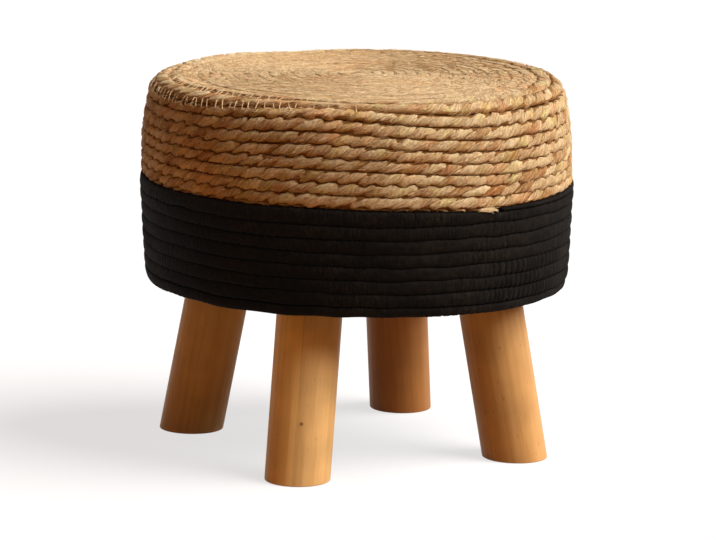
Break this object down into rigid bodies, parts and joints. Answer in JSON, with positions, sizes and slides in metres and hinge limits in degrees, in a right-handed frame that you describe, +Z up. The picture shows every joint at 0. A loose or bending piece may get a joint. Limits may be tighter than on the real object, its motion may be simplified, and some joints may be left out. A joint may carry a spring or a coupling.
{
  "type": "round upholstered footstool",
  "caption": "Round low stool with a coiled straw rope top, a black cord band below it and splayed round pine legs.",
  "frame": {"origin": "on the floor, under the middle of the seat, at the bottom centre of the bounding box", "axes": "+Z up, the stool's upright axis; -Y is the front, and the legs stand on the diagonals between X and Y"},
  "size_m": [0.4017, 0.4017, 0.3528],
  "materials": {
    "straw_rope": "matte",
    "black_cord": "matte",
    "leg_pine": "satin",
    "post_pine": "matte",
    "plywood": "matte",
    "fibreboard": "matte",
    "foam": "matte",
    "wadding": "matte",
    "dust_felt": "matte",
    "zinc_steel": "satin"
  },
  "bodies": {
    "root": {"straw_top_coil": "straw_rope", "straw_side_coil": "straw_rope", "black_band_coil": "black_cord", "foam_pad": "foam", "side_wadding": "wadding", "side_hoop": "fibreboard", "seat_board": "plywood", "base_board": "plywood", "dust_cover": "dust_felt", "post_right": "post_pine", "post_screw_top_right": "zinc_steel", "post_screw_base_right": "zinc_steel", "post_rear": "post_pine", "post_screw_top_rear": "zinc_steel", "post_screw_base_rear": "zinc_steel", "post_left": "post_pine", "post_screw_top_left": "zinc_steel", "post_screw_base_left": "zinc_steel", "post_front": "post_pine", "post_screw_top_front": "zinc_steel", "post_screw_base_front": "zinc_steel", "leg_rear_right": "leg_pine", "hanger_bolt_rear_right": "zinc_steel", "leg_plate_rear_right": "zinc_steel", "plate_screw_rear_right_1": "zinc_steel", "plate_screw_rear_right_2": "zinc_steel", "plate_screw_rear_right_3": "zinc_steel", "plate_screw_rear_right_4": "zinc_steel", "leg_rear_left": "leg_pine", "hanger_bolt_rear_left": "zinc_steel", "leg_plate_rear_left": "zinc_steel", "plate_screw_rear_left_1": "zinc_steel", "plate_screw_rear_left_2": "zinc_steel", "plate_screw_rear_left_3": "zinc_steel", "plate_screw_rear_left_4": "zinc_steel", "leg_front_left": "leg_pine", "hanger_bolt_front_left": "zinc_steel", "leg_plate_front_left": "zinc_steel", "plate_screw_front_left_1": "zinc_steel", "plate_screw_front_left_2": "zinc_steel", "plate_screw_front_left_3": "zinc_steel", "plate_screw_front_left_4": "zinc_steel", "leg_front_right": "leg_pine", "hanger_bolt_front_right": "zinc_steel", "leg_plate_front_right": "zinc_steel", "plate_screw_front_right_1": "zinc_steel", "plate_screw_front_right_2": "zinc_steel", "plate_screw_front_right_3": "zinc_steel", "plate_screw_front_right_4": "zinc_steel"}
  },
  "joints": []
}
